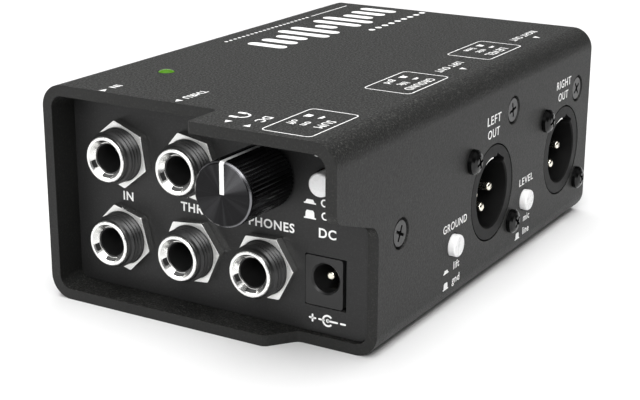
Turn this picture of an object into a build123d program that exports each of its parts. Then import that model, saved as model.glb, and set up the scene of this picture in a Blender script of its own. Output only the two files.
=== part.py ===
from build123d import *
import math
import os

# Direct injection box: a rounded steel sleeve around an inner chassis. The front panel has five
# jacks, a volume knob, a push button and a power inlet. The right wall has two three-pin
# output receptacles and two push buttons. Millimetres, +Z up, and the front panel faces -Y.
# The origin is the middle of the sleeve's flat underside.

# Sleeve
width = 81.3
height = 50.0
length = 123.5
wall = 2.5
corner_r = 5.3
hood = 10.9
hood_left_x = 6.3
step_back = 6.2
ramp_x = 16.9
ramp_run = 4.9
slope_low_z = 28.7
slope_high_z = 34.3
front_y = -length / 2
rear_y = length / 2
right_x = width / 2

# Chassis
sheet = 1.2
panel_gap = 0.1
panel_y = front_y + 7.4
rear_panel_y = rear_y - 2.0
floor_z = wall + panel_gap
flange = 12.0

# Jacks: three columns and two rows, with the volume knob in the sixth place
first_column_x = -23.95
column_pitch = 18.65
low_row_z = 15.45
row_pitch = 19.3
jack_bore_r = 3.25
jack_bore_end = 1.0
jack_proud = 7.2
bushing_r = 6.0
thread_pitch = 1.0
nut_flats = 13.4
nut_t = 2.2
nut_edge = 0.2
jack_seats = {
    "upper_input": (0, 1, 38.7),
    "lower_input": (0, 0, 45.0),
    "upper_thru": (1, 1, 50.0),
    "lower_thru": (1, 0, 5.5),
    "phones": (2, 0, 2.6),
}

# Volume control
knob_r = 7.0
knob_face = 16.75
knob_raise = 0.7
knob_gap = 0.8
knob_ribs = 48
shaft_r = 3.0
running_gap = 0.05
pot_depth = 9.5
pot_side = 13.5

# Boards
board_t = 1.6
front_board_depth = 26.2
output_board_depth = 20.5
main_board_z = 9.0
front_board_y = panel_y + front_board_depth
output_board_x = right_x - output_board_depth

# Push buttons: place on the wall, and how far each cap stands out
cap_r = 2.55
button_travel = 2.0
case_h = 9.0
sum_place = (27.65, 36.1)
ground_place = (-20.15, 14.6)
level_place = (20.0, 14.4)
front_cap_proud = 3.0
side_cap_proud = 1.6
slide_gap = 0.3

# Output receptacles in the right wall
xlr_z = 21.4
xlr_y = {"left": 0.3, "right": 43.45}
xlr_boss_r = 11.3
xlr_gap = 0.35
xlr_recess = 0.1
xlr_cavity_r = 8.4
xlr_cavity_depth = 15.5
xlr_pin_r = 1.2
xlr_pin_offset = 4.1
xlr_pin_tip = 2.2
xlr_screw_x = 11.7
xlr_screw_y = 10.3
xlr_screw_spots = ((-xlr_screw_x, xlr_screw_y), (xlr_screw_x, -xlr_screw_y))

# Power inlet
dc_x = 27.6
dc_z = 14.2
dc_cut_w = 9.9
dc_cut_h = 11.4
dc_w = 9.0
dc_h = 11.0
dc_shift_x = -0.35
dc_hole_up = 0.75
dc_hole_r = 3.15
dc_hole_depth = 10.5
dc_body_depth = 14.2
dc_pin_r = 1.05
dc_pin_tip = 2.0

# Fasteners and the power light
screw_r = 1.5
clear_r = 1.65
thread_r = 1.52
csk_mouth_r = 3.45
csk_seat_depth = 0.9
csk_drop = 0.25
csk_r = 2.8
pan_r = 2.9
pan_h = 2.0
right_screws = ((-45.8, 24.8), (11.0, 38.9), (52.7, 35.85))
left_screws = ((-45.8, 24.8), (52.7, 35.85))
spacer_place = right_screws[1]
standoffs = ((-31, -20), (12, -20), (-31, 50), (12, 50))
led_x = -24.05
led_y = -38.25
lens_r = 1.93


# ---------------------------------------------------------------- helpers
def block(x0, x1, y0, y1, z0, z1):
    """Box between two corners."""
    return Pos(x0, y0, z0) * Box(x1 - x0, y1 - y0, z1 - z0, align=(Align.MIN,) * 3)


def rod(radius, low, high, x=0.0, y=0.0):
    """Cylinder about an axis parallel to local Z."""
    upward = (Align.CENTER, Align.CENTER, Align.MIN)
    return Pos(x, y, low) * Cylinder(radius, high - low, align=upward)


def turned(*points):
    """Solid of revolution about local Z from (radius, height) points."""
    return revolve(make_face(Plane.XZ * Polyline(*points, close=True)), Axis.Z)


def rounded(points, radii):
    """Closed outline through points, with a radius at each corner or 0 for a sharp one."""
    sketch = make_face(Polyline(*points, close=True))
    for point, radius in zip(points, radii):
        if radius:
            corner = sketch.vertices().sort_by_distance((point[0], point[1], 0))[0]
            sketch = fillet(corner, radius)
    return sketch


def on_front(x, z):
    """Frame on the front panel's outer face: local X right, Y up, Z out."""
    return Location(Plane((x, panel_y, z), x_dir=(1, 0, 0), z_dir=(0, -1, 0)))


def on_right(y, z, x=right_x):
    """Frame on the right wall's outer face: local X to the rear, Y up, Z out."""
    return Location(Plane((x, y, z), x_dir=(0, 1, 0), z_dir=(1, 0, 0)))


def on_left(y, z, x=-right_x):
    """Frame on the left wall's outer face: local X to the front, Y up, Z out."""
    return Location(Plane((x, y, z), x_dir=(0, -1, 0), z_dir=(-1, 0, 0)))


def jack_place(column, row):
    return on_front(first_column_x + column * column_pitch, low_row_z + row * row_pitch)


knob_place = jack_place(2, 1) * Pos(0, knob_raise, 0)


def save(name, *solids):
    """One STEP file for one sub-part, which may be a group of identical pieces."""
    pieces = []
    for solid in solids:
        pieces += solid.solids()
    shape = pieces[0] if len(pieces) == 1 else Compound(children=pieces)
    shape.label = name
    export_step(shape, f"parts/{name}.step")


# ---------------------------------------------------------------- sleeve and chassis
def countersink():
    """What a countersunk screw needs cut out of the wall: a wide straight mouth above a 45 degree seat."""
    seat_r = clear_r + csk_r - screw_r
    seat_low = csk_seat_depth + seat_r - clear_r
    return turned(
        (0, 1), (csk_mouth_r, 1), (csk_mouth_r, -csk_seat_depth), (seat_r, -csk_seat_depth),
        (clear_r, -seat_low), (clear_r, -wall - 1), (0, -wall - 1)
    )


def front_edge_cuts():
    """What is cut from a straight tube to leave the hood and the stepped right side."""
    hood_y = front_y - hood
    step_y = front_y + step_back
    far = hood_y - 1
    side = right_x + 1
    ahead = [(-side, far), (side, far)]
    top_cut = rounded(
        ahead + [(side, hood_y), (hood_left_x, hood_y), (hood_left_x, front_y), (-side, front_y)],
        [0, 0, 0, 0.8, 1.2, 0],
    )
    floor_cut = rounded(
        ahead + [(side, step_y), (ramp_x + ramp_run, step_y), (ramp_x, front_y), (-side, front_y)],
        [0, 0, 0, 2.0, 2.0, 0],
    )
    slope = [(step_y, slope_low_z), (hood_y, slope_high_z)]
    side_cut = rounded(
        [(far, -1), (step_y, -1), *slope, (hood_y, height), (far, height)],
        [0, 0, 4.0, 3.0, 0, 0],
    )
    across = Plane((right_x - corner_r, 0, 0), x_dir=(0, 1, 0), z_dir=(1, 0, 0))
    return (
        extrude(top_cut, amount=height)
        + extrude(Pos(0, 0, -1) * floor_cut, amount=1 + corner_r)
        + extrude(across * side_cut, amount=corner_r + 1)
    )


def sleeve():
    start = Plane((0, rear_y, height / 2), x_dir=(1, 0, 0), z_dir=(0, -1, 0))
    inner_w = width - 2 * wall
    inner_h = height - 2 * wall
    ring = RectangleRounded(width, height, corner_r)
    ring -= RectangleRounded(inner_w, inner_h, corner_r - wall)
    body = extrude(start * ring, amount=length + hood) - front_edge_cuts()
    for y, z in right_screws:
        body -= on_right(y, z) * countersink()
    for y, z in left_screws:
        body -= on_left(y, z) * countersink()
    for y in xlr_y.values():
        body -= on_right(y, xlr_z) * rod(xlr_boss_r + xlr_gap, -wall - 1, 1)
        for x, z in xlr_screw_spots:
            body -= on_right(y, xlr_z) * rod(clear_r, -wall - 1, 1, x, z)
    for y, z in (ground_place, level_place):
        body -= on_right(y, z) * rod(cap_r + slide_gap, -wall - 1, 1)
    return body - Pos(led_x, led_y, 0) * rod(lens_r + 0.05, height - wall - 1, height + 1)


def panel(outer_y, thickness, facing):
    """Sheet across the inside of the sleeve, from outer_y inwards."""
    w = width - 2 * (wall + panel_gap)
    h = height - 2 * (wall + panel_gap)
    plane = Plane((0, outer_y, height / 2), x_dir=(1, 0, 0), z_dir=(0, -1, 0))
    outline = RectangleRounded(w, h, corner_r - wall - panel_gap)
    return extrude(plane * outline, amount=facing * thickness)


def screw_tab(side, y0, y1, z0, z1, place):
    """Flange inside a side wall, with an extruded collar for one case screw."""
    outer = side * (right_x - wall - panel_gap)
    inner = outer - side * sheet
    tab = block(min(outer, inner), max(outer, inner), y0, y1, z0, z1)
    frame = on_right(*place) if side > 0 else on_left(*place)
    deep = -wall - panel_gap - sheet
    collar = frame * rod(thread_r + 0.8, deep - 1.2, deep)
    return tab + collar - frame * rod(thread_r, deep - 2, 0)


inside_y = (panel_y + sheet, rear_panel_y - sheet)


def front_panel():
    body = panel(panel_y, sheet, -1)
    for side, place in ((1, right_screws[0]), (-1, left_screws[0])):
        body += screw_tab(side, inside_y[0], inside_y[0] + flange, 10, 40, place)
    for column, row, _ in jack_seats.values():
        body -= jack_place(column, row) * rod(bushing_r + 0.15, -sheet - 1, 1)
    body -= knob_place * rod(pot_bushing_r + 0.1, -sheet - 1, 1)
    body -= on_front(*sum_place) * rod(cap_r + slide_gap, -sheet - 1, 1)
    dc_cut = block(-dc_cut_w / 2, dc_cut_w / 2, -dc_cut_h / 2, dc_cut_h / 2, -sheet - 1, 1)
    return body - on_front(dc_x, dc_z) * dc_cut


def rear_panel():
    body = panel(rear_panel_y, sheet, 1)
    for side, place in ((1, right_screws[-1]), (-1, left_screws[-1])):
        body += screw_tab(side, inside_y[1] - flange + 2.2, inside_y[1], 33.3, 42, place)
    return body


def chassis_floor():
    half = right_x - wall - corner_r
    return block(-half, half, *inside_y, floor_z, floor_z + sheet)


# ---------------------------------------------------------------- fasteners
def cross_recess(top, depth, span):
    """Four-armed driver recess with a wider middle."""
    half = 0.32
    middle = 0.62
    arm = block(-span / 2, span / 2, -half, half, top - depth, top + 1)
    centre = block(-middle, middle, -middle, middle, top - depth, top + 1)
    return arm + Rot(0, 0, 90) * arm + Rot(0, 0, 45) * centre


def csk_screw(turn):
    neck = csk_seat_depth + csk_r - screw_r
    screw = turned(
        (0, -csk_drop), (csk_r, -csk_drop), (csk_r, -csk_seat_depth),
        (screw_r, -neck), (screw_r, -6), (1.1, -6.4), (0, -6.4)
    )
    return Rot(0, 0, turn) * (screw - cross_recess(-csk_drop, 1.2, 3.6))


def pan_screw(turn, reach=7.0):
    head = turned(
        (0, pan_h), (1.4, pan_h - 0.08), (2.3, pan_h - 0.45), (pan_r, pan_h - 1.0), (pan_r, 0),
        (screw_r, 0), (screw_r, 0.4 - reach), (1.1, -reach), (0, -reach)
    )
    return Rot(0, 0, turn) * (head - cross_recess(pan_h, 1.2, 3.0))


def hex_nut(flats, thickness, bore, turn):
    """Hexagon nut from local Z 0 up, chamfered on both faces."""
    corner = flats / math.sqrt(3)
    face_r = corner - nut_edge
    blank = extrude(RegularPolygon(flats / 2, 6, major_radius=False, rotation=turn), amount=thickness)
    side_r = corner + 0.1
    low = nut_edge
    high = thickness - nut_edge
    envelope = turned((0, 0), (face_r, 0), (side_r, low), (side_r, high), (face_r, thickness), (0, thickness))
    bevel = 0.15
    top = thickness + 1
    mouth = bore + bevel
    hole = turned((0, -1), (bore, -1), (bore, thickness - bevel), (mouth, thickness), (mouth, top), (0, top))
    return (blank & envelope) - hole


def hex_spacer(flats, low, high):
    post = extrude(Pos(0, 0, low) * RegularPolygon(flats / 2, 6, major_radius=False), amount=high - low)
    return post - rod(thread_r, low - 1, high + 1)


# ---------------------------------------------------------------- jacks
jack_w = 15.6
jack_h = 16.4
jack_lip = 0.9
lip_r = 5.05
funnel_r = 4.4
throat_r = 3.5
throat_depth = 1.3
ferrule_depth = 1.5
ferrule_skin = 0.35
seat_top = jack_proud - jack_lip
seat_low = jack_proud - ferrule_depth
throat_z = jack_proud - throat_depth
windows = ((100, 2.0), (204, 1.7), (270, 2.6))
flat_angle = 231
contact_angles = (90, 210, 330)
contact_starts = (-19.0, -12.0, -6.0)
contact_in = 3.8
contact_out = 4.2


def thread_rings(crest, low, high):
    """Outline up a threaded stretch, one ring to a pitch."""
    root = crest - 0.5
    points = []
    for ring in range(round((high - low) / thread_pitch)):
        z = low + ring * thread_pitch
        points += [(root, z), (crest, z + 0.4 * thread_pitch), (crest, z + 0.6 * thread_pitch)]
    return points + [(root, high)]


def funnel_window(angle, span, gap):
    """Block that fills a window in the ferrule's funnel, less a gap all round."""
    side = span / 2 - gap
    low = throat_z + gap
    high = jack_proud - 0.35 - gap
    return Rot(0, 0, angle) * block(3.3, funnel_r + 0.22, -side, side, low, high)


def jack_body():
    """Moulded body behind the panel with its threaded bushing through it."""
    box = block(-jack_w / 2, jack_w / 2, -jack_h / 2, jack_h / 2, -front_board_depth, -sheet)
    box = fillet(box.edges().filter_by(Axis.Z), 1.0)
    outline = thread_rings(bushing_r, -sheet, seat_top - 0.5)
    bushing = turned((0, -sheet - 1), (5.4, -sheet - 1), *outline, (5.2, seat_top), (0, seat_top))
    body = box + bushing
    skin_r = throat_r + ferrule_skin + 0.04
    wide_r = funnel_r + ferrule_skin - 0.1
    body -= turned(
        (0, seat_low), (skin_r, seat_low), (skin_r, seat_low + 0.3),
        (wide_r, seat_top), (wide_r, seat_top + 1), (0, seat_top + 1)
    )
    low_r = throat_r + 0.12
    high_r = funnel_r + 0.12
    outline = [(0, seat_low), (low_r, seat_low), (low_r, throat_z), (high_r, jack_proud), (0, jack_proud)]
    funnel = turned(*outline)
    for angle, span in windows:
        body += funnel_window(angle, span, 0.04) - funnel
    body -= rod(jack_bore_r, jack_bore_end - front_board_depth, seat_low + 0.1)
    for angle, start in zip(contact_angles, contact_starts):
        slot = block(2.0, contact_out, -1.5, 1.5, -front_board_depth - 1, start + 1)
        body -= Rot(0, 0, angle) * slot
    return body


def jack_ferrule():
    """Formed nose ring: a flat lip, and a thin funnel with three windows and one flattened side."""
    skin_r = throat_r + ferrule_skin
    wide_r = funnel_r + ferrule_skin - 0.14
    ring = turned(
        (throat_r, seat_low), (skin_r, seat_low), (skin_r, seat_low + 0.3), (wide_r, seat_top),
        (lip_r, seat_top), (lip_r, jack_proud - 0.15), (lip_r - 0.15, jack_proud),
        (funnel_r, jack_proud), (throat_r, throat_z)
    )
    for angle, span in windows:
        ring -= funnel_window(angle, span, 0)
    chord = Rot(0, 0, flat_angle) * block(throat_r * 0.95, 4, -2, 2, seat_low, throat_z)
    return ring + (rod(throat_r + 0.1, seat_low, throat_z) & chord)


def jack_contacts():
    """Tip, ring and sleeve springs, which lie just outside the plug's path."""
    strips = []
    for angle, start in zip(contact_angles, contact_starts):
        strip = block(contact_in, contact_out, -1.2, 1.2, -front_board_depth, start)
        tail = block(contact_in, contact_out, -0.5, 0.5, -front_board_depth - 3, -front_board_depth)
        strips.append(Rot(0, 0, angle) * (strip + tail))
    return strips


def jacks():
    nuts = []
    for name, (column, row, turn) in jack_seats.items():
        place = jack_place(column, row)
        save(f"{name}_jack", place * jack_body())
        save(f"{name}_ferrule", place * jack_ferrule())
        save(f"{name}_contacts", *[place * strip for strip in jack_contacts()])
        nuts.append(place * hex_nut(nut_flats, nut_t, bushing_r + 0.04, turn))
    save("jack_nuts", *nuts)


# ---------------------------------------------------------------- power inlet
def dc_inlet():
    place = on_front(dc_x, dc_z)
    shell = block(-dc_w / 2, dc_w / 2, -dc_h / 2, dc_h / 2, -dc_body_depth, 0)
    shell = Pos(dc_shift_x, 0, 0) * fillet(shell.edges().filter_by(Axis.Z), 0.6)
    axis = Pos(0, dc_hole_up, 0)
    mouth = dc_hole_r + 0.4
    deep = -dc_hole_depth
    bore = turned((0, 1), (mouth, 1), (mouth, 0), (dc_hole_r, -0.4), (dc_hole_r, deep), (0, deep))
    pin_hole = rod(dc_pin_r, -dc_body_depth - 1, -dc_hole_depth)
    channel = block(-1.2, 1.2, -3.6, -2.0, -dc_body_depth - 1, -3)
    save("dc_socket", place * (shell - axis * (bore + pin_hole + channel)))
    pin = rod(dc_pin_r, -dc_body_depth, -dc_pin_tip)
    pin = fillet(pin.faces().sort_by(Axis.Z)[-1].edges(), 0.6)
    leg = rod(0.5, -front_board_depth - 3, -dc_body_depth)
    strip = block(-1.0, 1.0, -3.6, -3.2, -dc_body_depth, -4)
    tail = block(-0.5, 0.5, -3.6, -3.2, -front_board_depth - 3, -dc_body_depth)
    save("dc_contacts", place * axis * (pin + leg), place * axis * (strip + tail))


# ---------------------------------------------------------------- volume control
pot_top = -sheet
pot_rear = pot_top - pot_depth
pot_cavity_r = 5.8
bushing_top = 5.0
pot_bushing_r = 3.5
track_t = 1.4
terminal_x = (-4.0, 0.0, 4.0)


def pot_case():
    half = pot_side / 2
    case = block(-half, half, -half, half, pot_rear, pot_top)
    case = fillet(case.edges().filter_by(Axis.Z), 1.0)
    case += rod(pot_bushing_r, pot_top - 0.1, bushing_top)
    case -= rod(pot_cavity_r, pot_rear - 1, pot_top - 1.2)
    return case - rod(shaft_r + running_gap, pot_top - 2, bushing_top + 1)


def pot_shaft():
    collar = rod(4.2, pot_top - 2.7, pot_top - 1.5)
    shaft = rod(shaft_r, pot_rear + 2.0, 14.0)
    shaft = chamfer(shaft.faces().sort_by(Axis.Z)[-1].edges(), 0.4)
    return shaft + collar


def pot_wiper():
    disc = rod(5.2, pot_rear + 2.0, pot_rear + 3.3) - rod(shaft_r + 0.02, pot_rear, pot_rear + 4)
    for turn in (-15, 15):
        disc += Rot(0, 0, 90 + turn) * block(3.6, 4.8, -0.4, 0.4, pot_rear + slide_gap, pot_rear + 2.0)
    return disc


def volume_knob():
    """Ribbed barrel, hollow at its base, with a bevelled face and a groove for the pointer."""
    depth = 0.28
    outline = []
    for rib in range(knob_ribs):
        for part, radius in ((0.0, knob_r - depth), (0.3, knob_r), (0.6, knob_r)):
            angle = 2 * math.pi * (rib + part) / knob_ribs
            outline.append((radius * math.cos(angle), radius * math.sin(angle)))
    ribs = Pos(0, 0, knob_gap) * make_face(Polyline(*outline, close=True))
    ribbed = extrude(ribs, amount=knob_face - 0.9 - knob_gap)
    rim = knob_r - 0.12
    low = knob_face - 1.0
    crown = turned((0, low), (rim, low), (rim, knob_face - 0.5), (rim - 0.5, knob_face), (0, knob_face))
    knob = ribbed + crown
    knob -= rod(5.6, 0, bushing_top + 0.6)
    knob -= rod(shaft_r + 0.02, 0, 14.2)
    groove_w = 1.2
    knob -= block(-groove_w / 2, groove_w / 2, 0, knob_r + 1, knob_face - 0.35, knob_face + 1)
    return knob - block(-groove_w / 2, groove_w / 2, knob_r - 0.4, knob_r + 1, 0, knob_face + 1)


def volume_control():
    save("volume_knob", knob_place * volume_knob())
    save("pot_shaft", knob_place * pot_shaft())
    save("pot_wiper", knob_place * pot_wiper())
    save("pot_case", knob_place * pot_case())
    save("pot_nut", knob_place * hex_nut(9.0, 2.0, pot_bushing_r + 0.03, 10))
    half = pot_side / 2
    track = block(-half, half, -half, half, pot_rear - track_t, pot_rear)
    legs = []
    for x in terminal_x:
        leg = block(x - 0.6, x + 0.6, -5.2, -4.8, -front_board_depth - 3, pot_rear - track_t)
        legs.append(knob_place * leg)
    save("pot_track", knob_place * fillet(track.edges().filter_by(Axis.Z), 1.0))
    save("pot_terminals", *legs)


# ---------------------------------------------------------------- push switches
foot_half = 2.5
stem_half = 1.3
cavity_half = 2.8
lid_t = 1.0
base_t = 1.2


def switch_case(board):
    """Square case standing on a board whose face is at local Z board."""
    case = block(-4, 4, -4, 4, board, board + case_h)
    case = fillet(case.edges().filter_by(Axis.Z), 0.5)
    low = board + base_t
    case -= block(-cavity_half, cavity_half, -cavity_half, cavity_half, low, board + case_h - lid_t)
    opening = stem_half + slide_gap
    return case - block(-opening, opening, -opening, opening, low, board + case_h + 1)


def switch_plunger(board, skin):
    foot_top = board + case_h - lid_t - slide_gap
    foot = block(-foot_half, foot_half, -foot_half, foot_half, foot_top - 1.8, foot_top)
    stem = block(-stem_half, stem_half, -stem_half, stem_half, foot_top, -skin + 0.5)
    return foot + stem


def button_cap(skin, proud):
    cap = rod(cap_r, -skin - 3.0, proud)
    cap = fillet(cap.faces().sort_by(Axis.Z)[-1].edges(), 0.45)
    return cap - block(-stem_half, stem_half, -stem_half, stem_half, -skin - 4, -skin + 0.5)


def switch_spring(board):
    """Return spring, as short as when the button is pressed fully."""
    wire = 0.25
    low = board + base_t + wire + 0.02
    path = Pos(0, 0, low) * Helix(pitch=0.72, height=1.8, radius=1.9)
    start = Plane(origin=path @ 0, z_dir=path % 0)
    return sweep(start * Circle(wire), path=path)


def push_switches():
    springs = []
    placed = (
        ("sum", on_front(*sum_place), front_board_depth, sheet, front_cap_proud),
        ("ground", on_right(*ground_place), output_board_depth, wall, side_cap_proud),
        ("level", on_right(*level_place), output_board_depth, wall, side_cap_proud),
    )
    for name, place, depth, skin, proud in placed:
        save(f"{name}_switch_case", place * switch_case(-depth))
        save(f"{name}_plunger", place * switch_plunger(-depth, skin))
        save(f"{name}_button", place * button_cap(skin, proud))
        springs.append(place * switch_spring(-depth))
    save("switch_springs", *springs)


# ---------------------------------------------------------------- output receptacles
xlr_pins = ((-xlr_pin_offset, 0), (xlr_pin_offset, 0), (0, -xlr_pin_offset))
keyway_angle = 62
spring_arc = (84, 114)
spring_reach = 12.0
pin_root = -xlr_cavity_depth - 2.0


def xlr_housing():
    """Male receptacle: boss in the wall's hole, eared flange behind it and a keyed cavity."""
    ear_angle = -math.degrees(math.atan2(xlr_screw_y, xlr_screw_x))
    ear_span = 2 * math.hypot(xlr_screw_x, xlr_screw_y)
    flange_outline = Circle(12.6) + SlotCenterToCenter(ear_span, 6.6, rotation=ear_angle)
    body = rod(xlr_boss_r, -wall, -xlr_recess)
    body += extrude(Pos(0, 0, -wall - 2.6) * flange_outline, amount=2.6)
    body += rod(10.4, -output_board_depth, -wall)
    mouth = xlr_cavity_r + 0.3
    low = -xlr_recess - 0.3
    deep = -xlr_cavity_depth
    outline = [(0, 1), (mouth, 1), (mouth, -xlr_recess), (xlr_cavity_r, low), (xlr_cavity_r, deep), (0, deep)]
    body -= turned(*outline)
    body -= Rot(0, 0, keyway_angle) * block(6.0, xlr_cavity_r + 0.7, -2.3, 2.3, deep, 1)
    for x, y in xlr_pins:
        body -= rod(xlr_pin_r, pin_root, 0, x, y) + rod(0.62, -output_board_depth - 1, pin_root, x, y)
    for x, y in xlr_screw_spots:
        body -= rod(thread_r, -wall - 4, -wall + 1, x, y)
    return body


def xlr_pin():
    pin = rod(xlr_pin_r, pin_root, -xlr_pin_tip)
    pin = fillet(pin.faces().sort_by(Axis.Z)[-1].edges(), 0.8)
    return pin + rod(0.6, -output_board_depth - 3, pin_root)


def xlr_ground_spring():
    """Curved strip on the cavity's wall that meets the plug's shell."""
    low = -12.0
    ring = rod(xlr_cavity_r - 0.02, low, -xlr_recess - 0.35) - rod(xlr_cavity_r - 0.35, low - 1, 0)
    corners = [(0, 0)]
    for angle in spring_arc:
        across = math.radians(angle)
        corners.append((spring_reach * math.cos(across), spring_reach * math.sin(across)))
    wedge = Pos(0, 0, low - 1) * make_face(Polyline(*corners, close=True))
    return ring & extrude(wedge, amount=1 - low)


def outputs():
    springs = []
    screws = []
    for name, y in xlr_y.items():
        place = on_right(y, xlr_z)
        save(f"{name}_xlr_housing", place * xlr_housing())
        save(f"{name}_xlr_pins", *[place * Pos(x, z, 0) * xlr_pin() for x, z in xlr_pins])
        springs.append(place * xlr_ground_spring())
        for (x, z), turn in zip(xlr_screw_spots, (20, 50)):
            screws.append(place * Pos(x, z, 0) * pan_screw(turn))
    save("xlr_ground_springs", *springs)
    save("xlr_screws", *screws)


# ---------------------------------------------------------------- boards and what they carry
def boards():
    front = block(-36.5, 36.5, front_board_y, front_board_y + board_t, 6, 45)
    for column, row, _ in jack_seats.values():
        place = jack_place(column, row)
        for angle in contact_angles:
            front -= place * Rot(0, 0, angle) * rod(0.8, -40, 0, (contact_in + contact_out) / 2)
    for x in terminal_x:
        front -= knob_place * rod(0.8, -40, 0, x, -5.0)
    for up in (0, -3.4):
        front -= on_front(dc_x, dc_z + dc_hole_up + up) * rod(0.8, -40, 0)
    save("front_board", front)

    side = block(output_board_x - board_t, output_board_x, front_board_y + board_t + 0.5, 56, 6, 45)
    for y in xlr_y.values():
        for x, z in xlr_pins:
            side -= on_right(y, xlr_z) * rod(0.8, -40, 0, x, z)
    side -= on_right(*spacer_place) * rod(clear_r, -40, 0)
    save("output_board", side)

    main_y0 = front_board_y + board_t + 0.2
    main = block(-36, output_board_x - board_t - 0.3, main_y0, 56, main_board_z, main_board_z + board_t)
    for x, y in standoffs:
        main -= rod(clear_r, 0, 20, x, y)
    save("main_board", main)

    top = main_board_z + board_t
    front_header = block(-15, 5, main_y0 - 0.2, main_y0 + 2.4, top, top + 2.2)
    board_back = output_board_x - board_t
    side_header = block(board_back - 2.6, board_back, 20, 40, top, top + 2.2)
    save("board_headers", front_header, side_header)

    posts = [Pos(x, y, 0) * hex_spacer(5.5, floor_z + sheet, main_board_z) for x, y in standoffs]
    posts.append(on_right(*spacer_place) * hex_spacer(5.5, -output_board_depth, -wall))
    save("board_spacers", *posts)
    screws = [Pos(x, y, top) * pan_screw(x + y, 6.2) for x, y in standoffs]
    screws.append(on_left(*spacer_place, board_back) * pan_screw(35, 6.2))
    save("board_screws", *screws)


def transformer_core():
    """Stack of E and I laminations with two windows, standing on local Z 0."""
    frame = Rectangle(26, 22)
    for side in (-1, 1):
        frame -= Pos(side * 6.55, 0) * Rectangle(4.5, 13.6)
    upright = Plane((-7, 0, 11), x_dir=(0, 1, 0), z_dir=(1, 0, 0))
    return extrude(upright * frame, amount=14)


def transformer_coil():
    coil = block(-11, 11, -8.3, 8.3, 4.4, 17.6)
    coil = fillet(coil.edges().filter_by(Axis.Z), 2.5)
    return coil - block(-7.05, 7.05, -4.35, 4.35, 0, 22)


def capacitor(radius, tall):
    can = rod(radius, 0, tall)
    return fillet(can.faces().sort_by(Axis.Z)[-1].edges(), 0.6)


def op_amp():
    """Dual in-line package on its eight legs."""
    chip = block(-3.2, 3.2, -4.8, 4.8, 0.5, 3.8)
    for side in (-1, 1):
        near, far = sorted((side * 3.0, side * 3.6))
        for leg in range(4):
            y = -3.81 + 2.54 * leg
            chip += block(near, far, y - 0.4, y + 0.4, 0, 2.2)
    return chip


def electronics():
    top = main_board_z + board_t
    for name, y in (("left", 5), ("right", 39)):
        save(f"{name}_transformer_core", Pos(-8, y, top) * transformer_core())
        save(f"{name}_transformer_coil", Pos(-8, y, top) * transformer_coil())
    large = [Pos(-29, -8 + 11 * step, top) * capacitor(4.0, 12.0) for step in range(5)]
    small = [Pos(9, -8 + 12 * step, top) * capacitor(2.5, 8.0) for step in range(4)]
    save("capacitors", *large, *small)
    save("op_amps", *[Pos(x, -18, top) * op_amp() for x in (-20, -8, 3)], Pos(10, 41, top) * op_amp())


def power_light():
    roof = height - wall
    lens = turned(
        (0, height + 0.45), (1.1, height + 0.3), (1.7, height + 0.05), (lens_r, height - 0.2),
        (lens_r, roof), (2.6, roof), (2.6, roof - 0.8), (0, roof - 0.8)
    )
    save("led_lens", Pos(led_x, led_y, 0) * lens)
    base = 43.4
    bulb = rod(1.8, base, base + 0.5) + rod(1.5, base + 0.5, roof - 0.9)
    for side in (-1, 1):
        foot = led_x + side * 1.0
        lead = block(foot - 0.2, foot + 0.2, led_y - 0.2, front_board_y, base - 0.4, base)
        bulb += Pos(-led_x, -led_y, 0) * lead
    save("power_led", Pos(led_x, led_y, 0) * bulb)


os.makedirs("parts", exist_ok=True)
save("outer_sleeve", sleeve())
save("front_panel", front_panel())
save("rear_panel", rear_panel())
save("chassis_floor", chassis_floor())
right_turns = (63, 12, 35)
left_turns = (5, 50)
case_screws = [on_right(*place) * csk_screw(turn) for place, turn in zip(right_screws, right_turns)]
case_screws += [on_left(*place) * csk_screw(turn) for place, turn in zip(left_screws, left_turns)]
save("case_screws", *case_screws)
jacks()
dc_inlet()
volume_control()
push_switches()
outputs()
boards()
electronics()
power_light()
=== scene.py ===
import bmesh
import bpy
import math
from mathutils import Matrix, Vector


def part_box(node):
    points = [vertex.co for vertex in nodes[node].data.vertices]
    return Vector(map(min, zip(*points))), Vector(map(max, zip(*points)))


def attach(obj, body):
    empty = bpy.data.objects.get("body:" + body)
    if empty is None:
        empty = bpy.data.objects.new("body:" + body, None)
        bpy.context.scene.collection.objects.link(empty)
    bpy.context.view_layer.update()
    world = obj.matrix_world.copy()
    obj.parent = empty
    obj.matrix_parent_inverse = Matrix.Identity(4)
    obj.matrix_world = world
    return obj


# A direct injection box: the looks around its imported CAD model. Metres, +Z up, front panel to -Y.
# Printed marks are laid out in millimetres on the face that carries them.

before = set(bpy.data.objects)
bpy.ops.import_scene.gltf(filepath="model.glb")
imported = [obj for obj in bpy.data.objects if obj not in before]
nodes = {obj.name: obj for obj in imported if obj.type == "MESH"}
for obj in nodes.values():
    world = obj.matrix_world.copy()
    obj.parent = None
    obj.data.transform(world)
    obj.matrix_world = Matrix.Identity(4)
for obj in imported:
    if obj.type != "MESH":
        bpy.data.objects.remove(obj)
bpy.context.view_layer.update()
MM = 0.001

sleeve_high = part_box("outer_sleeve")[1]
top_z = sleeve_high.z
right_x = sleeve_high.x
panel_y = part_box("front_panel")[0].y
knob_low, knob_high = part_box("volume_knob")
knob_axis = (knob_low + knob_high) / 2


def grey(value):
    return (value, value, value)


# ---------------------------------------------------------------- camera, floor and light
CAMERA_PLACE = (168.1, -294.2, 120.9)       # millimetres
CAMERA_YAW = -30.61                         # degrees, as are the next two
CAMERA_PITCH = 17.69
CAMERA_ROLL = 0.25
SENSOR_WIDTH = 36
FOCAL_LENGTH = 80.3
FLOOR_RADIUS = 4.0

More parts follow.
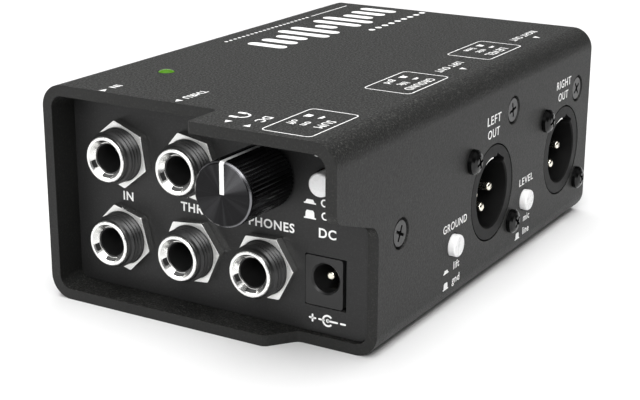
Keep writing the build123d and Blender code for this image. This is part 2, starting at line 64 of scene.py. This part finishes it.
# The room's grey by height, from the horizon (0) to straight up (1).
ROOM_GREYS = ((0.0, 0.8), (0.12, 0.40), (0.27, 0.20), (0.42, 0.07), (0.70, 0.10), (1.0, 1.2))
ROOM_LEFT = 1.75                            # the room's strength on the left and on the right
ROOM_RIGHT = 0.24

# Soft boxes: name, place, target, size and power.
SOFT_BOXES = (
    ("top_box", (0.20, -0.10, 1.60), (0, 0, 0), (1.8, 1.8), 30.0),
    ("side_box", (1.70, 0.50, 1.50), (0.15, 0.05, 0), (1.6, 1.2), 2.0),
    ("front_box", (0.60, -1.70, 1.18), (0, 0, 0.02), (1.0, 1.0), 28.0),
)


def look_matrix(place, yaw, pitch, roll):
    """A camera at place: yaw is measured from +Y towards +X, and pitch is downwards."""
    forward = Vector((math.sin(yaw) * math.cos(pitch), math.cos(yaw) * math.cos(pitch), -math.sin(pitch)))
    side = Vector((math.cos(yaw), -math.sin(yaw), 0))
    above = side.cross(forward)
    right = side * math.cos(roll) + above * math.sin(roll)
    up = above * math.cos(roll) - side * math.sin(roll)
    columns = Matrix((right, up, -forward)).transposed().to_4x4()
    return Matrix.Translation(place) @ columns


def add_camera():
    data = bpy.data.cameras.new("camera")
    data.sensor_width = SENSOR_WIDTH
    data.lens = FOCAL_LENGTH
    data.clip_start = 0.01
    camera = bpy.data.objects.new("camera", data)
    angles = (math.radians(angle) for angle in (CAMERA_YAW, CAMERA_PITCH, CAMERA_ROLL))
    camera.matrix_world = look_matrix(Vector(CAMERA_PLACE) * MM, *angles)
    bpy.context.scene.collection.objects.link(camera)
    bpy.context.scene.camera = camera


def add_area(name, place, target, size, power):
    data = bpy.data.lights.new(name, "AREA")
    data.shape = "RECTANGLE"
    data.size, data.size_y = size
    data.energy = power
    lamp = bpy.data.objects.new(name, data)
    aim = Vector(target) - Vector(place)
    lamp.matrix_world = Matrix.Translation(place) @ aim.to_track_quat("-Z", "Y").to_matrix().to_4x4()
    bpy.context.scene.collection.objects.link(lamp)


def add_studio():
    """A pale room, brightest at its horizon and on the left, with soft boxes above and in front."""
    world = bpy.data.worlds.new("studio")
    world.use_nodes = True
    tree = world.node_tree
    background = tree.nodes["Background"]
    coords = tree.nodes.new("ShaderNodeTexCoord")
    split = tree.nodes.new("ShaderNodeSeparateXYZ")
    ramp = tree.nodes.new("ShaderNodeValToRGB")
    while len(ramp.color_ramp.elements) < len(ROOM_GREYS):
        ramp.color_ramp.elements.new(0.5)
    for element, (position, tone) in zip(ramp.color_ramp.elements, ROOM_GREYS):
        element.position = position
        element.color = (*grey(tone), 1)
    tree.links.new(coords.outputs["Generated"], split.inputs[0])
    tree.links.new(split.outputs["Z"], ramp.inputs[0])
    tree.links.new(ramp.outputs["Color"], background.inputs["Color"])
    sides = tree.nodes.new("ShaderNodeMapRange")
    sides.inputs["From Min"].default_value = -0.5
    sides.inputs["From Max"].default_value = 0.5
    sides.inputs["To Min"].default_value = ROOM_LEFT
    sides.inputs["To Max"].default_value = ROOM_RIGHT
    tree.links.new(split.outputs["X"], sides.inputs["Value"])
    tree.links.new(sides.outputs["Result"], background.inputs["Strength"])
    bpy.context.scene.world = world
    for box in SOFT_BOXES:
        add_area(*box)


def add_floor():
    mesh = bpy.data.meshes.new("floor")
    build = bmesh.new()
    bmesh.ops.create_circle(build, cap_ends=True, segments=96, radius=FLOOR_RADIUS)
    build.to_mesh(mesh)
    build.free()
    floor = bpy.data.objects.new("floor", mesh)
    bpy.context.scene.collection.objects.link(floor)
    paper = Surface("floor_paper")
    paper.colour(paper.noise(12, 2), (0.80, 0.80, 0.80), (0.83, 0.83, 0.83))
    paper.roughness(paper.noise(900, 2), 0.75, 0.85)
    mesh.materials.append(paper.material)


# ---------------------------------------------------------------- materials
class Surface:
    """A Principled material whose patterns follow the object's own coordinates, in metres."""

    def __init__(self, name, **constants):
        self.material = bpy.data.materials.new(name)
        self.material.use_nodes = True
        self.tree = self.material.node_tree
        self.shader = self.tree.nodes["Principled BSDF"]
        self.coords = self.tree.nodes.new("ShaderNodeTexCoord").outputs["Object"]
        self.normal = None
        for socket, value in constants.items():
            self.shader.inputs[socket.replace("_", " ")].default_value = value

    def node(self, kind, **settings):
        made = self.tree.nodes.new("ShaderNode" + kind)
        for key, value in settings.items():
            setattr(made, key, value)
        return made

    def link(self, output, socket):
        self.tree.links.new(output, socket)

    def noise(self, scale, detail=4, rough=0.6, vector=None):
        made = self.node("TexNoise")
        made.inputs["Scale"].default_value = scale
        made.inputs["Detail"].default_value = detail
        made.inputs["Roughness"].default_value = rough
        self.link(vector or self.coords, made.inputs["Vector"])
        return made.outputs["Fac"]

    def stretched(self, x, y, z, origin=(0, 0, 0)):
        """The object's coordinates scaled along each axis, about an origin."""
        shift = self.node("VectorMath", operation="SUBTRACT")
        shift.inputs[1].default_value = origin
        self.link(self.coords, shift.inputs[0])
        scale = self.node("VectorMath", operation="MULTIPLY")
        scale.inputs[1].default_value = (x, y, z)
        self.link(shift.outputs[0], scale.inputs[0])
        return scale.outputs[0]

    def radius(self, origin):
        """Distance from the axis along Y through origin."""
        length = self.node("VectorMath", operation="LENGTH")
        self.link(self.stretched(1, 0, 1, origin=origin), length.inputs[0])
        return length.outputs["Value"]

    def along_x(self, value):
        """A vector that only has this value as its X."""
        joined = self.node("CombineXYZ")
        self.link(value, joined.inputs["X"])
        return joined.outputs[0]

    def facing(self, axis, low, high):
        """0 to 1 as the surface turns to face along an axis, either way."""
        split = self.node("SeparateXYZ")
        self.link(self.tree.nodes["Texture Coordinate"].outputs["Normal"], split.inputs[0])
        return self.steps(self.maths("ABSOLUTE", split.outputs[axis]), low, high)

    def around(self, angle):
        """A circle's point for an angle, so that a pattern closes on itself."""
        joined = self.node("CombineXYZ")
        self.link(self.maths("COSINE", angle), joined.inputs["X"])
        self.link(self.maths("SINE", angle), joined.inputs["Y"])
        return joined.outputs[0]

    def constant(self, value):
        made = self.node("Value")
        made.outputs[0].default_value = value
        return made.outputs[0]

    def steps(self, value, low, high):
        """value stretched so that low to high becomes 0 to 1."""
        made = self.node("MapRange")
        made.inputs["From Min"].default_value = low
        made.inputs["From Max"].default_value = high
        self.link(value, made.inputs["Value"])
        return made.outputs["Result"]

    def maths(self, kind, first, second=0.0):
        """A maths node. Functions of one value take no second one."""
        made = self.node("Math", operation=kind)
        self.link(first, made.inputs[0])
        if isinstance(second, (int, float)):
            made.inputs[1].default_value = second
        else:
            self.link(second, made.inputs[1])
        return made.outputs[0]

    def mix(self, factor, dark, light):
        made = self.node("Mix", data_type="RGBA")
        self.link(factor, made.inputs["Factor"])
        for socket, value in ((made.inputs[6], dark), (made.inputs[7], light)):
            if isinstance(value, tuple):
                socket.default_value = (*value, 1)
            else:
                self.link(value, socket)
        return made.outputs[2]

    def colour(self, factor, dark, light):
        self.link(self.mix(factor, dark, light), self.shader.inputs["Base Color"])

    def roughness(self, factor, low, high):
        made = self.node("MapRange")
        made.inputs["To Min"].default_value = low
        made.inputs["To Max"].default_value = high
        self.link(factor, made.inputs["Value"])
        self.link(made.outputs["Result"], self.shader.inputs["Roughness"])

    def bump(self, height, depth, strength=1.0):
        """Adds relief, depth in millimetres. Several calls stack."""
        made = self.node("Bump")
        made.inputs["Strength"].default_value = strength
        made.inputs["Distance"].default_value = depth * MM
        self.link(height, made.inputs["Height"])
        if self.normal:
            self.link(self.normal, made.inputs["Normal"])
        self.normal = made.outputs["Normal"]
        self.link(self.normal, self.shader.inputs["Normal"])


def powder_coat(name, dark, light, grain, shine):
    """Fine-textured paint: small domes, pale flecks painted in as glints mostly on its level faces, and a
    sheen that varies most on the top.
    """
    paint = Surface(name, IOR=1.5, Specular_IOR_Level=shine)
    domes = paint.noise(2600, 2, 0.5)
    tone = paint.noise(45, 3)
    upward = paint.facing("Z", -0.25, 0.95)
    # Painted glints: pale flecks in the colour, strongest on faces turned up or down, where the grain would
    # catch light.
    painted_glints = paint.maths("MULTIPLY", paint.steps(paint.noise(2300, 1), 0.54, 0.70), upward)
    mixed = paint.mix(tone, dark, light)
    pale = tuple(min(1.0, 6.0 * value) for value in light)
    paint.colour(painted_glints, mixed, pale)
    sheen = paint.steps(paint.noise(2100, 2, 0.6), 0.36, 0.64)
    paint.roughness(paint.mix(paint.facing("Z", 0.6, 0.95), domes, sheen), 0.38, 0.66)
    paint.bump(paint.noise(700, 2), 0.006, 0.6)
    paint.bump(paint.maths("MULTIPLY", domes, upward), grain, 1.0)
    return paint.material


def moulded(name, dark, light, rough=(0.35, 0.5), relief=0.02, scale=2200, **constants):
    """Moulded plastic: a fine eroded skin with slight flow marks."""
    skin = Surface(name, IOR=1.49, **constants)
    skin.colour(skin.noise(260, 3), dark, light)
    skin.roughness(skin.noise(900, 3), *rough)
    skin.bump(skin.noise(scale, 3), relief, 0.5)
    return skin.material


def plated(name, dark, light, rough, relief=0.006):
    """Bright plating over turned metal, with faint handling haze."""
    metal = Surface(name, Metallic=1.0)
    metal.colour(metal.noise(500, 4), dark, light)
    metal.roughness(metal.noise(1400, 4, 0.7), *rough)
    metal.bump(metal.noise(3500, 2), relief, 0.5)
    return metal.material


def turned_nickel(name):
    """Bright nickel: satin where a lathe faced it, and mirror-like on its flats."""
    metal = Surface(name)
    faced = metal.facing("Y", 0.45, 0.85)
    shine = metal.maths("SUBTRACT", metal.constant(1.0), metal.maths("MULTIPLY", faced, 0.45))
    metal.link(shine, metal.shader.inputs["Metallic"])
    metal.colour(metal.noise(500, 4), (0.84, 0.84, 0.82), (0.93, 0.93, 0.91))
    metal.roughness(metal.maths("MULTIPLY", faced, metal.noise(1400, 4, 0.7)), 0.16, 0.50)
    metal.bump(metal.noise(3500, 2), 0.004, 0.5)
    return metal.material


PAINTED_SHEEN_ANGLE = 0.86          # radians from +X towards +Z, where the painted sheen on the knob's face is brightest
RIM_WIDTH = 0.45 * MM       # the knob's bright cut edge
RIM_DEPTH = 0.56 * MM


def spun_black_painted_sheen(name):
    """Black anodised aluminium with fine tool-mark relief, a painted sheen in its colour (light wedges across
    the face and radial stripes), and a bright cut edge.
    """
    metal = Surface(name, Metallic=0.9)
    distance = metal.radius(knob_axis)
    coarse = metal.noise(3200, 5, 0.7, metal.along_x(distance))
    parts = metal.node("SeparateXYZ")
    metal.link(metal.stretched(1, 1, 1, origin=(knob_axis.x, knob_low.y, knob_axis.z)), parts.inputs[0])
    angle = metal.maths("ARCTAN2", parts.outputs["Z"], parts.outputs["X"])
    # Painted sheen: the face's colour lightens in two wedges across the axis, in radial stripes and faintly
    # along the tool-mark rings, where the spun face would catch light.
    turned = metal.maths("SUBTRACT", angle, PAINTED_SHEEN_ANGLE)
    doubled = metal.maths("COSINE", metal.maths("MULTIPLY", turned, 2.0))
    uneven = metal.steps(metal.maths("COSINE", turned), -1.8, 1.0)
    painted_streaks = metal.steps(metal.noise(2.2, 2, 0.6, metal.around(angle)), 0.0, 0.6)
    fine = metal.steps(metal.noise(4.0, 2, 0.6, metal.around(angle)), 0.4, 0.75)
    painted_lobes = metal.maths("MULTIPLY", metal.steps(doubled, 0.2, 1.0), uneven)
    bright = metal.maths("MULTIPLY", painted_lobes, painted_streaks)
    bright = metal.maths("MAXIMUM", bright, metal.maths("MULTIPLY", fine, 0.24))
    sheen = metal.maths("MAXIMUM", bright, metal.maths("MULTIPLY", coarse, 0.12))
    # The knob's black, lightened by the painted sheen.
    black = metal.mix(sheen, (0.007, 0.007, 0.0075), (0.10, 0.10, 0.105))
    rim = (knob_high.x - knob_axis.x) - RIM_WIDTH
    edge = metal.maths("MULTIPLY", metal.steps(distance, rim, rim + 0.06 * MM),
                       metal.steps(parts.outputs["Y"], RIM_DEPTH, RIM_DEPTH - 0.06 * MM))
    metal.colour(edge, black, (0.19, 0.19, 0.20))
    metal.roughness(metal.noise(1500, 3), 0.18, 0.28)
    metal.bump(coarse, 0.02, 0.8)
    metal.bump(metal.noise(1800, 2), 0.004, 0.3)
    return metal.material


def laminated(name):
    """Stacked steel laminations with varnish in the joints."""
    steel = Surface(name, Metallic=0.8)
    layers = steel.node("TexWave", bands_direction="X")
    layers.inputs["Scale"].default_value = 320
    steel.link(steel.coords, layers.inputs["Vector"])
    steel.colour(layers.outputs["Fac"], (0.10, 0.10, 0.11), (0.42, 0.42, 0.44))
    steel.roughness(steel.noise(700, 3), 0.35, 0.6)
    steel.bump(layers.outputs["Fac"], 0.05, 0.6)
    return steel.material


def board_green(name):
    """Solder mask over copper: darker where bare laminate shows between traces."""
    board = Surface(name, Coat_Weight=0.3, Coat_Roughness=0.15)
    bricks = board.node("TexBrick")
    bricks.inputs["Scale"].default_value = 260
    bricks.inputs["Mortar Size"].default_value = 0.06
    bricks.inputs["Color1"].default_value = (1, 1, 1, 1)
    bricks.inputs["Color2"].default_value = (0.7, 0.7, 0.7, 1)
    board.link(board.coords, bricks.inputs["Vector"])
    board.colour(bricks.outputs["Color"], (0.006, 0.05, 0.022), (0.014, 0.13, 0.05))
    board.roughness(board.noise(800, 3), 0.3, 0.45)
    board.bump(bricks.outputs["Color"], 0.03, 0.5)
    return board.material


def led_green(name):
    lens = Surface(name, IOR=1.5, Transmission_Weight=0.2, Emission_Strength=0.10, Specular_IOR_Level=0.1)
    lens.shader.inputs["Emission Color"].default_value = (0.30, 0.80, 0.03, 1)
    lens.colour(lens.noise(900, 2), (0.035, 0.13, 0.004), (0.075, 0.21, 0.009))
    lens.roughness(lens.noise(1600, 2), 0.18, 0.3)
    lens.bump(lens.noise(1800, 2), 0.01, 0.4)
    return lens.material


def ink_white(name):
    """Screen-printed white ink, slightly uneven."""
    ink = Surface(name, IOR=1.45)
    ink.colour(ink.noise(1300, 3), (0.90, 0.90, 0.89), (0.96, 0.96, 0.95))
    ink.roughness(ink.noise(2600, 2), 0.5, 0.65)
    ink.bump(ink.noise(3000, 2), 0.01, 0.5)
    return ink.material


def make_materials():
    """One material for each of the imported model's material slots."""
    return {
        "sleeve_paint": powder_coat("sleeve_paint", (0.0073, 0.0073, 0.0070), (0.0096, 0.0097, 0.0089),
                                    0.26, 0.34),
        "chassis_paint": powder_coat("chassis_paint", grey(0.006), grey(0.008), 0.06, 0.50),
        "case_screw_steel": plated("case_screw_steel", grey(0.045), grey(0.09), (0.26, 0.40), 0.02),
        "black_screw": plated("black_screw", grey(0.02), grey(0.05), (0.16, 0.28)),
        "zinc_steel": plated("zinc_steel", (0.52, 0.53, 0.55), grey(0.66), (0.25, 0.4)),
        "brass": plated("brass", (0.62, 0.45, 0.17), (0.74, 0.58, 0.26), (0.22, 0.36)),
        "nickel": turned_nickel("nickel"),
        "black_plastic": moulded("black_plastic", grey(0.010), grey(0.016)),
        "jack_plastic": moulded("jack_plastic", grey(0.010), grey(0.018), (0.28, 0.42)),
        "switch_plastic": moulded("switch_plastic", grey(0.03), grey(0.05)),
        "xlr_plastic": moulded("xlr_plastic", grey(0.003), grey(0.006), (0.45, 0.6), Specular_IOR_Level=0.16),
        "label_ink": ink_white("label_ink"),
        "button_white": moulded("button_white", grey(0.83), grey(0.89), (0.22, 0.34), 0.006),
        "knob_anodised": spun_black_painted_sheen("knob_anodised"),
        "plated_pin": plated("plated_pin", (0.84, 0.80, 0.68), (0.92, 0.89, 0.79), (0.14, 0.26)),
        "contact_metal": plated("contact_metal", (0.66, 0.58, 0.40), (0.80, 0.74, 0.58), (0.2, 0.35)),
        "spring_steel": plated("spring_steel", grey(0.5), grey(0.65), (0.2, 0.35)),
        "phenolic": moulded("phenolic", (0.16, 0.08, 0.03), (0.26, 0.14, 0.06)),
        "circuit_board": board_green("circuit_board"),
        "capacitor_sleeve": moulded("capacitor_sleeve", (0.01, 0.015, 0.06), (0.02, 0.03, 0.10), (0.2, 0.3)),
        "chip_black": moulded("chip_black", grey(0.018), grey(0.03), (0.5, 0.65)),
        "core_steel": laminated("core_steel"),
        "coil_tape": moulded("coil_tape", (0.55, 0.36, 0.04), (0.70, 0.50, 0.09), (0.25, 0.4), 0.05, 600),
        "led_body": moulded("led_body", (0.05, 0.35, 0.06), (0.10, 0.50, 0.12), (0.15, 0.25)),
        "green_lens": led_green("green_lens"),
    }


# ---------------------------------------------------------------- softened CAD edges
SHARP_EDGE = 35             # degrees


def soften(node, width):
    """Breaks the sharp edges of a CAD node by width millimetres."""
    obj = nodes[node]
    weld = obj.modifiers.new("weld", "WELD")
    weld.merge_threshold = 1e-6
    flat = obj.modifiers.new("flat", "DECIMATE")
    flat.decimate_type = "DISSOLVE"
    flat.angle_limit = math.radians(0.5)
    edge = obj.modifiers.new("edge", "BEVEL")
    edge.width = width * MM
    edge.segments = 2
    edge.limit_method = "ANGLE"
    edge.angle_limit = math.radians(SHARP_EDGE)
    edge.harden_normals = False
    obj.modifiers.new("shading", "WEIGHTED_NORMAL")


# ---------------------------------------------------------------- printed marks
INK_DEEP = 0.01             # millimetres into the face, and above it
INK_PROUD = 0.03
CAP_HEIGHT = 0.729          # a capital's height in Blender's own font, at size 1
LETTER_SPACE = 1.12
BOLD = 0.022                # how far the outline of a letter is thickened, at size 1
MEDIUM = 0.012
LIGHT = 0.006
THIN = 0.004


class Print:
    """White marks on one flat face, laid out in millimetres as right and up on that face."""

    def __init__(self, name, origin, right, up):
        self.name = name
        normal = Vector(right).cross(Vector(up))
        turn = Matrix((Vector(right), Vector(up), normal)).transposed().to_4x4()
        self.matrix = Matrix.Translation(origin) @ turn @ Matrix.Scale(MM, 4)
        self.build = bmesh.new()

    def add_mesh(self, mesh, matrix):
        """Adds a flat closed mesh whose local Z runs from 0 to 1 through the ink."""
        lift = Matrix.Translation((0, 0, -INK_DEEP)) @ Matrix.Diagonal((1, 1, INK_DEEP + INK_PROUD, 1))
        mesh.transform(lift @ matrix)
        self.build.from_mesh(mesh)
        bpy.data.meshes.remove(mesh)

    def shape(self, points, place=(0, 0), turn=0.0):
        """A filled outline through points."""
        part = bmesh.new()
        low = [part.verts.new((x, y, 0)) for x, y in points]
        high = [part.verts.new((x, y, 1)) for x, y in points]
        part.faces.new(low[::-1])
        part.faces.new(high)
        for index in range(len(points)):
            after = (index + 1) % len(points)
            part.faces.new((low[index], low[after], high[after], high[index]))
        bmesh.ops.recalc_face_normals(part, faces=part.faces)
        mesh = bpy.data.meshes.new("shape")
        part.to_mesh(mesh)
        part.free()
        self.add_mesh(mesh, Matrix.Translation((*place, 0)) @ Matrix.Rotation(turn, 4, "Z"))

    def bar(self, start, end, width):
        """A straight line with round ends."""
        (x0, y0), (x1, y1) = start, end
        heading = math.atan2(y1 - y0, x1 - x0)
        points = []
        for end_x, end_y, base in ((x1, y1, heading - math.pi / 2), (x0, y0, heading + math.pi / 2)):
            for step in range(9):
                angle = base + math.pi * step / 8
                points.append((end_x + width / 2 * math.cos(angle), end_y + width / 2 * math.sin(angle)))
        self.shape(points)

    def arc(self, middle, radius, width, first, last, steps=24):
        """Part of a ring, angles in degrees."""
        outer, inner = [], []
        for step in range(steps + 1):
            angle = math.radians(first + (last - first) * step / steps)
            outer.append((math.cos(angle) * (radius + width / 2), math.sin(angle) * (radius + width / 2)))
            inner.append((math.cos(angle) * (radius - width / 2), math.sin(angle) * (radius - width / 2)))
        self.shape(outer + inner[::-1], middle)

    def text(self, words, place, height, weight=MEDIUM, stretch=1.0):
        """Plain letters whose capitals have that height, centred on place."""
        curve = bpy.data.curves.new("words", "FONT")
        curve.body = words
        curve.align_x = "CENTER"
        curve.size = 1.0
        curve.offset = weight
        curve.extrude = 0.5
        curve.resolution_u = 4
        curve.space_character = LETTER_SPACE
        holder = bpy.data.objects.new("words", curve)
        bpy.context.scene.collection.objects.link(holder)
        found = bpy.context.evaluated_depsgraph_get()
        mesh = bpy.data.meshes.new_from_object(holder.evaluated_get(found))
        bpy.data.objects.remove(holder)
        scale = height / CAP_HEIGHT
        middle = Matrix.Translation((0, -CAP_HEIGHT / 2, 0.5))
        size = Matrix.Diagonal((scale * stretch, scale, 1, 1))
        self.add_mesh(mesh, Matrix.Translation((*place, 0)) @ size @ middle)

    def finish(self, material):
        bmesh.ops.remove_doubles(self.build, verts=self.build.verts, dist=1e-5)
        bmesh.ops.dissolve_degenerate(self.build, edges=self.build.edges, dist=1e-6)
        bmesh.ops.recalc_face_normals(self.build, faces=self.build.faces)
        mesh = bpy.data.meshes.new(self.name)
        self.build.to_mesh(mesh)
        self.build.free()
        mesh.transform(self.matrix)
        mesh.materials.append(material)
        obj = bpy.data.objects.new(self.name, mesh)
        bpy.context.scene.collection.objects.link(obj)
        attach(obj, "case")
        return obj


def triangle(face, place, size, turn):
    """Small solid arrowhead that points along turn."""
    face.shape([(size * 0.6, 0), (-size * 0.4, size * 0.5), (-size * 0.4, -size * 0.5)], place, turn)


def switch_out(face, place, size):
    """Push button drawn standing out."""
    w, h = size, size * 0.64
    base = -h / 2 + 0.16 * h
    face.shape([(-w / 2, -h / 2), (w / 2, -h / 2), (w / 2, base), (0.38 * w, base), (0.35 * w, 0.3 * h),
                (0.26 * w, h / 2), (-0.26 * w, h / 2), (-0.35 * w, 0.3 * h), (-0.38 * w, base),
                (-w / 2, base)], place)


def switch_in(face, place, size):
    """Push button drawn pressed in."""
    w, h = size, size * 0.33
    base = -h / 2 + 0.28 * h
    face.shape([(-w / 2, -h / 2), (w / 2, -h / 2), (w / 2, base), (0.40 * w, base), (0.26 * w, h / 2),
                (-0.26 * w, h / 2), (-0.40 * w, base), (-w / 2, base)], place)


def headphones(face, place, size):
    """A band over two ear pieces."""
    x, y = place
    reach = size * 0.42
    face.arc(place, reach, size * 0.12, 0, 180)
    for ear in (x - reach, x + reach):
        face.bar((ear, y - size * 0.05), (ear, y - size * 0.36), size * 0.26)


def outline(face, low, high, width, corner=0.6):
    """Rounded rectangle drawn as a line."""
    (x0, y0), (x1, y1) = low, high
    for start, end in (((x0 + corner, y0), (x1 - corner, y0)), ((x0 + corner, y1), (x1 - corner, y1)),
                       ((x0, y0 + corner), (x0, y1 - corner)), ((x1, y0 + corner), (x1, y1 - corner))):
        face.bar(start, end, width)
    for cx, cy, first in ((x0 + corner, y0 + corner, 180), (x1 - corner, y0 + corner, 270),
                          (x1 - corner, y1 - corner, 0), (x0 + corner, y1 - corner, 90)):
        face.arc((cx, cy), corner, width, first, first + 90, 8)


def print_front(material):
    face = Print("front_marks", (0, panel_y, 0), (1, 0, 0), (0, 0, 1))
    face.text("IN", (-23.5, 24.75), 2.05, weight=BOLD)
    face.text("THRU", (-5.1, 24.9), 2.05, weight=BOLD)
    face.text("PHONES", (14.3, 24.75), 2.05, weight=BOLD)
    triangle(face, (-7.8, 27.6), 1.4, math.pi)
    face.text("DC", (28.0, 25.0), 2.1, weight=BOLD)
    face.text("SUM", (27.65, 42.2), 2.0, weight=BOLD)
    for height, word, middle, draw in ((31.3, "ON", 28.3, switch_in), (28.5, "OFF", 28.7, switch_out)):
        draw(face, (23.8, height), 2.9)
        face.text(word, (middle, height + 0.2), 1.7, weight=BOLD)
    polarity(face, (28.2, 5.7))
    return face.finish(material)


def polarity(face, place):
    """Barrel plug symbol: plus to the sleeve and minus to the centre."""
    x, y = place
    line = 0.42
    face.bar((x - 4.4, y), (x - 3.0, y), line)
    face.bar((x - 3.7, y - 0.7), (x - 3.7, y + 0.7), line)
    face.bar((x - 2.1, y), (x - 0.95, y), line)
    face.arc(place, 1.15, line, 40, 320)
    face.bar((x, y), (x + 2.3, y), line)
    face.arc(place, 0.18, 0.5, 0, 359)
    face.bar((x + 3.2, y), (x + 4.2, y), line)


SIDE_STRETCH = {"LEFT": 1.18, "RIGHT": 1.05, "LEVEL": 1.17}


def print_side(material):
    face = Print("side_marks", (right_x, 0, 0), (0, 1, 0), (0, 0, 1))
    for left, words in ((0.3, ("LEFT", "OUT")), (43.4, ("RIGHT", "OUT"))):
        for row, word in enumerate(words):
            stretch = SIDE_STRETCH.get(word, 1)
            face.text(word, (left - 0.6, 39.2 - 3.25 * row), 2.15, weight=LIGHT, stretch=stretch)
    for middle, title, pressed, raised in ((-19.6, "GROUND", "lift", "gnd"), (20.6, "LEVEL", "mic", "line")):
        face.text(title, (middle, 19.4), 1.9, weight=LIGHT, stretch=SIDE_STRETCH.get(title, 1))
        for height, word, draw in ((9.6, pressed, switch_in), (6.2, raised, switch_out)):
            draw(face, (middle - 4.0, height - 0.4), 2.6)
            face.text(word, (middle + 1.2, height), 1.85)
    return face.finish(material)


def wave_mark(face, low, high):
    """A generic row of level bars, as tall as a sound wave's envelope."""
    (x0, y0), (x1, y1) = low, high
    count = 11
    width = 3.2
    pitch = (x1 - x0) / (count - 1)
    middle = (y0 + y1) / 2
    for index in range(count):
        phase = index / (count - 1)
        swing = 0.25 + 0.75 * abs(math.sin(math.pi * (0.15 + 0.7 * phase)) * math.cos(3.0 * math.pi * phase))
        reach = ((y1 - y0) / 2 - width / 2) * swing
        x = x0 + pitch * index
        face.bar((x, middle - reach), (x, middle + reach), width)


def dots(face, start, end, count, size):
    """A row of round dots."""
    for index in range(count):
        share = index / (count - 1)
        place = (start[0] + (end[0] - start[0]) * share, start[1] + (end[1] - start[1]) * share)
        face.bar((place[0] - 0.05, place[1]), (place[0] + 0.05, place[1]), size)


TOP_STRETCH = {"GROUND": 0.88, "LEVEL": 1.18}


def print_top(material):
    face = Print("top_marks", (0, 0, top_z), (0, -1, 0), (1, 0, 0))
    face.text("IN", (56.2, -24.3), 2.0)
    triangle(face, (60.4, -24.3), 1.7, math.pi)
    face.text("THRU", (53.4, -5.2), 2.0)
    triangle(face, (59.6, -5.2), 1.7, 0)
    headphones(face, (63.0, 13.0), 4.0)
    triangle(face, (68.4, 13.2), 1.7, 0)
    face.text("DC", (63.3, 18.6), 2.2)
    triangle(face, (69.2, 18.6), 1.7, math.pi)
    for middle, title, pressed, raised in ((60.5, "SUM", "on", "off"), (19.5, "GROUND", "lift", "gnd"),
                                           (-21.7, "LEVEL", "mic", "line")):
        outline(face, (middle - 9.8, 22.1), (middle + 9.8, 33.4), 0.28, 1.3)
        face.text(title, (middle, 31.0), 2.2, weight=THIN, stretch=TOP_STRETCH.get(title, 1))
        for height, word, draw in ((27.7, pressed, switch_in), (24.6, raised, switch_out)):
            draw(face, (middle - 4.4, height), 2.4)
            face.text(word, (middle + 1.4, height), 2.0, weight=LIGHT)
    for middle, words in ((0.2, "LEFT OUT"), (-43.4, "RIGHT OUT")):
        face.text(words, (middle, 28.8), 2.0, weight=THIN, stretch=0.94)
        triangle(face, (middle, 32.3), 1.7, math.pi / 2)
    wave_mark(face, (-56.0, -28.7), (1.4, -12.2))
    dots(face, (-59.0, -8.2), (-30.0, -8.2), 9, 1.8)
    dots(face, (3.0, -31.6), (-36.0, -31.6), 21, 0.9)
    face.bar((-57.6, -31.6), (-38.5, -31.6), 0.35)
    return face.finish(material)


# ---------------------------------------------------------------- the knob's pointer
def knob_pointer(material):
    """White line in the groove, from the middle of the face to its edge and back along the side."""
    half = 0.56 * MM
    face_y = knob_low.y
    back_y = knob_high.y - 0.3 * MM
    rim_z = knob_high.z
    sunk = 0.06 * MM
    floor = 0.34 * MM
    profile = [
        (face_y + floor, knob_axis.z), (face_y + sunk, knob_axis.z), (face_y + sunk, rim_z - 0.5 * MM),
        (face_y + 0.45 * MM, rim_z - sunk), (back_y, rim_z - sunk), (back_y, rim_z - floor),
        (face_y + floor + 0.2 * MM, rim_z - floor), (face_y + floor, rim_z - floor - 0.2 * MM),
    ]
    build = bmesh.new()
    sides = []
    for x in (knob_axis.x - half, knob_axis.x + half):
        sides.append([build.verts.new((x, y, z)) for y, z in profile])
    for ring in sides:
        build.faces.new(ring)
    for index in range(len(profile)):
        after = (index + 1) % len(profile)
        build.faces.new((sides[0][index], sides[0][after], sides[1][after], sides[1][index]))
    bmesh.ops.recalc_face_normals(build, faces=build.faces)
    mesh = bpy.data.meshes.new("knob_pointer")
    build.to_mesh(mesh)
    build.free()
    mesh.materials.append(material)
    obj = bpy.data.objects.new("knob_pointer", mesh)
    bpy.context.scene.collection.objects.link(obj)
    edge = obj.modifiers.new("edge", "BEVEL")
    edge.width = 0.08 * MM
    edge.segments = 2
    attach(obj, "volume_control")
    return obj


# ---------------------------------------------------------------- putting it together
add_camera()
add_studio()
add_floor()
materials = make_materials()
for node in nodes.values():
    for held in node.material_slots:
        held.material = materials[held.material.name.split(".")[0]]
ink = materials["label_ink"]
soften("outer_sleeve", 0.25)
soften("front_panel", 0.15)
soften("jack_nuts", 0.12)
print_front(ink)
print_side(ink)
print_top(ink)
knob_pointer(ink)
bpy.context.scene.view_settings.view_transform = "Standard"

bpy.context.view_layer.update()
